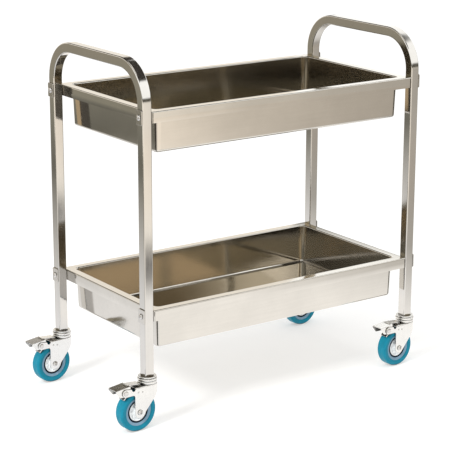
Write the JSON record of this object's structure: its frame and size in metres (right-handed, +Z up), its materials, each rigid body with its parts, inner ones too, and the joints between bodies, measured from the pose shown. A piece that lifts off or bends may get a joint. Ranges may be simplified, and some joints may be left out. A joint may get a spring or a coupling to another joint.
{
  "type": "two-tier deep-tray trolley",
  "caption": "Stainless steel trolley: two deep rectangular trays between bent square-tube end frames, on braked swivel castors.",
  "frame": {"origin": "middle of the overall outline on the floor", "axes": "+Z up, +X along the trays from the left end frame to the right, +Y from front to back"},
  "size_m": [0.9398, 0.4646, 0.893],
  "materials": {
    "tube_steel": "polished",
    "tray_steel": "bright rolled",
    "plate_steel": "satin",
    "fastener": "polished",
    "insert_steel": "satin",
    "castor_steel": "bright pressed",
    "wheel_plastic": "moulded white",
    "seal_black": "matt",
    "rim_grey": "moulded grey-blue",
    "tyre_blue": "satin teal blue"
  },
  "bodies": {
    "trolley": {"end_frame_left": "tube_steel", "end_frame_right": "tube_steel", "upper_tray": "tray_steel", "lower_tray": "tray_steel", "joint_plates": "plate_steel", "joint_bolts": "fastener", "joint_washers": "fastener", "joint_nuts": "fastener", "leg_inserts": "insert_steel", "castor_stems": "castor_steel", "swivel_balls": "castor_steel"},
    "swivel_front_left": {"fork_front_left": "castor_steel", "fork_rivets_front_left": "fastener", "axle_bolt_front_left": "fastener", "axle_nut_front_left": "fastener", "axle_bush_front_left": "castor_steel"},
    "wheel_front_left": {"wheel_centre_front_left": "wheel_plastic", "seal_rings_front_left": "seal_black", "rim_band_front_left": "rim_grey", "tyre_front_left": "tyre_blue"},
    "brake_front_left": {"pedal_front_left": "castor_steel", "release_tab_front_left": "castor_steel", "brake_shoe_front_left": "castor_steel"},
    "swivel_back_left": {"fork_back_left": "castor_steel", "fork_rivets_back_left": "fastener", "axle_bolt_back_left": "fastener", "axle_nut_back_left": "fastener", "axle_bush_back_left": "castor_steel"},
    "wheel_back_left": {"wheel_centre_back_left": "wheel_plastic", "seal_rings_back_left": "seal_black", "rim_band_back_left": "rim_grey", "tyre_back_left": "tyre_blue"},
    "brake_back_left": {"pedal_back_left": "castor_steel", "release_tab_back_left": "castor_steel", "brake_shoe_back_left": "castor_steel"},
    "swivel_front_right": {"fork_front_right": "castor_steel", "fork_rivets_front_right": "fastener", "axle_bolt_front_right": "fastener", "axle_nut_front_right": "fastener", "axle_bush_front_right": "castor_steel"},
    "wheel_front_right": {"wheel_centre_front_right": "wheel_plastic", "seal_rings_front_right": "seal_black", "rim_band_front_right": "rim_grey", "tyre_front_right": "tyre_blue"},
    "brake_front_right": {"pedal_front_right": "castor_steel", "release_tab_front_right": "castor_steel", "brake_shoe_front_right": "castor_steel"},
    "swivel_back_right": {"fork_back_right": "castor_steel", "fork_rivets_back_right": "fastener", "axle_bolt_back_right": "fastener", "axle_nut_back_right": "fastener", "axle_bush_back_right": "castor_steel"},
    "wheel_back_right": {"wheel_centre_back_right": "wheel_plastic", "seal_rings_back_right": "seal_black", "rim_band_back_right": "rim_grey", "tyre_back_right": "tyre_blue"},
    "brake_back_right": {"pedal_back_right": "castor_steel", "release_tab_back_right": "castor_steel", "brake_shoe_back_right": "castor_steel"}
  },
  "joints": [
    {"name": "swivel_front_left", "type": "hinge", "parent": "trolley", "child": "swivel_front_left", "pos_m": [-0.36804, -0.2058, 0.108], "axis": [0, 0, 1], "continuous": true},
    {"name": "wheel_spin_front_left", "type": "hinge", "parent": "swivel_front_left", "child": "wheel_front_left", "pos_m": [-0.4028, -0.20744, 0.05], "axis": [0.0471, -0.9989, 0], "continuous": true},
    {"name": "brake_pedal_front_left", "type": "hinge", "parent": "swivel_front_left", "child": "brake_front_left", "pos_m": [-0.44246, -0.20931, 0.106], "axis": [0.0471, -0.9989, 0], "range_deg": [0, 10], "stiffness_Nm_per_rad": 2},
    {"name": "swivel_back_left", "type": "hinge", "parent": "trolley", "child": "swivel_back_left", "pos_m": [-0.36804, 0.2062, 0.108], "axis": [0, 0, 1], "continuous": true},
    {"name": "wheel_spin_back_left", "type": "hinge", "parent": "swivel_back_left", "child": "wheel_back_left", "pos_m": [-0.40276, 0.20384, 0.05], "axis": [0.068, -0.9977, 0], "continuous": true},
    {"name": "brake_pedal_back_left", "type": "hinge", "parent": "swivel_back_left", "child": "brake_back_left", "pos_m": [-0.44237, 0.20114, 0.106], "axis": [0.068, -0.9977, 0], "range_deg": [0, 10], "stiffness_Nm_per_rad": 2},
    {"name": "swivel_front_right", "type": "hinge", "parent": "trolley", "child": "swivel_front_right", "pos_m": [0.44496, -0.2058, 0.108], "axis": [0, 0, 1], "continuous": true},
    {"name": "wheel_spin_front_right", "type": "hinge", "parent": "swivel_front_right", "child": "wheel_front_right", "pos_m": [0.41024, -0.20822, 0.05], "axis": [0.0698, -0.9976, 0], "continuous": true},
    {"name": "brake_pedal_front_right", "type": "hinge", "parent": "swivel_front_right", "child": "brake_front_right", "pos_m": [0.37064, -0.21099, 0.106], "axis": [0.0698, -0.9976, 0], "range_deg": [0, 10], "stiffness_Nm_per_rad": 2},
    {"name": "swivel_back_right", "type": "hinge", "parent": "trolley", "child": "swivel_back_right", "pos_m": [0.44496, 0.2062, 0.108], "axis": [0, 0, 1], "continuous": true},
    {"name": "wheel_spin_back_right", "type": "hinge", "parent": "swivel_back_right", "child": "wheel_back_right", "pos_m": [0.41022, 0.20408, 0.05], "axis": [0.061, -0.9981, 0], "continuous": true},
    {"name": "brake_pedal_back_right", "type": "hinge", "parent": "swivel_back_right", "child": "brake_back_right", "pos_m": [0.3706, 0.20165, 0.106], "axis": [0.061, -0.9981, 0], "range_deg": [0, 10], "stiffness_Nm_per_rad": 2}
  ]
}
